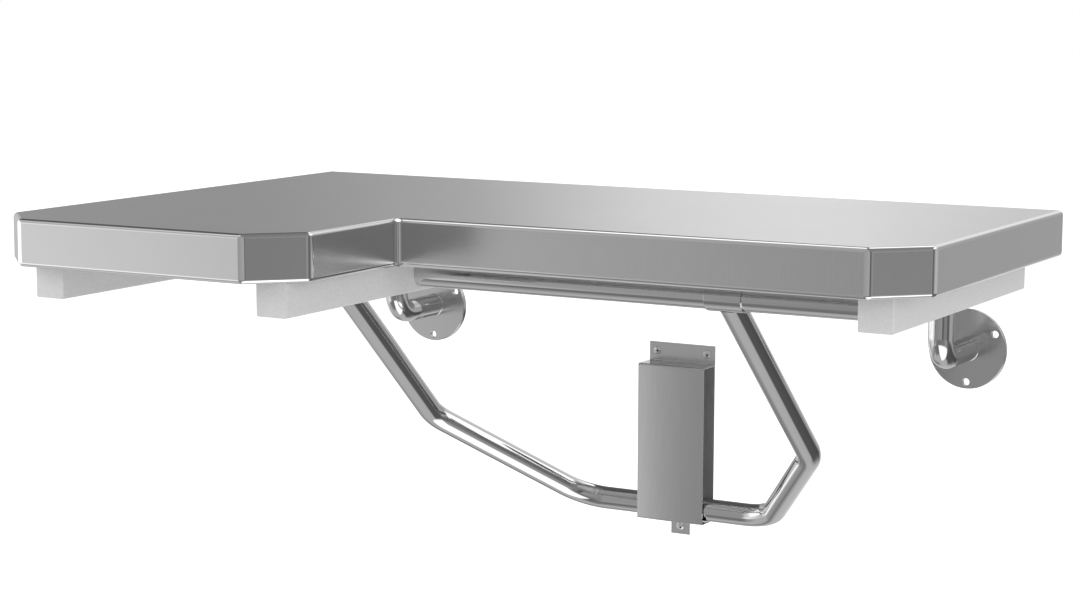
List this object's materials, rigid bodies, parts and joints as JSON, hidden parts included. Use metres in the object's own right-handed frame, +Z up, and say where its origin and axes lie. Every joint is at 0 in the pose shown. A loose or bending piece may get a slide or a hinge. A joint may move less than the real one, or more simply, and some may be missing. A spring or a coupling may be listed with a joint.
{
  "type": "fold-down wall seat",
  "caption": "Fold-down wall seat: an L-shaped sheet steel pan on square bars, hinged on flanged wall posts, with a bent tube brace that swings down and slides in a wall guide.",
  "frame": {"origin": "centre of the left flange's back face, on the wall", "axes": "+X along the wall to the right, +Y into the wall, +Z up; the seat stands out towards -Y"},
  "size_m": [0.8, 0.5798, 0.3526],
  "materials": {
    "satin_steel": "satin brushed stainless steel",
    "polished_steel": "polished stainless steel tube",
    "bright_screw": "bright stainless steel screw",
    "white_plastic": "plain white nylon"
  },
  "bodies": {
    "seat": {"seat_pan": "satin_steel", "riser_left": "satin_steel", "riser_middle": "satin_steel", "riser_right": "satin_steel", "bar_left": "satin_steel", "bar_middle": "satin_steel", "bar_right": "satin_steel", "front_caps": "satin_steel", "rear_caps": "satin_steel", "cross_tube": "polished_steel", "hinge_tube_left": "polished_steel", "hinge_tube_right": "polished_steel", "brace_sleeve_left": "polished_steel", "brace_sleeve_right": "polished_steel"},
    "wall_mount": {"flange_left": "satin_steel", "flange_right": "satin_steel", "post_left": "polished_steel", "post_right": "polished_steel", "hinge_sleeve_left": "polished_steel", "hinge_sleeve_right": "polished_steel", "hinge_bush_left": "white_plastic", "hinge_bush_right": "white_plastic", "guide_bracket": "satin_steel", "guide_back_plate": "satin_steel", "guide_screws": "bright_screw"},
    "glide_carriage": {"glide": "white_plastic"},
    "brace": {"brace_tube": "polished_steel"}
  },
  "joints": [
    {"name": "seat_fold", "type": "hinge", "parent": "wall_mount", "child": "seat", "pos_m": [0.29525, -0.0762, 0.081], "axis": [-1, 0, 0], "range_deg": [0, 90]},
    {"name": "glide_rise", "type": "slide", "parent": "wall_mount", "child": "glide_carriage", "axis": [0, 0, 1], "range_m": [0, 0.11005]},
    {"name": "brace_swing", "type": "hinge", "parent": "glide_carriage", "child": "brace", "pos_m": [0.2914, -0.0131, -0.1828], "axis": [-1, 0, 0], "range_deg": [0, 41.36]}
  ],
  "couplings": [
    {"joint": "glide_rise", "follows": "seat_fold", "m_per_rad": 0.069995},
    {"joint": "brace_swing", "follows": "seat_fold", "ratio": 0.45931}
  ]
}
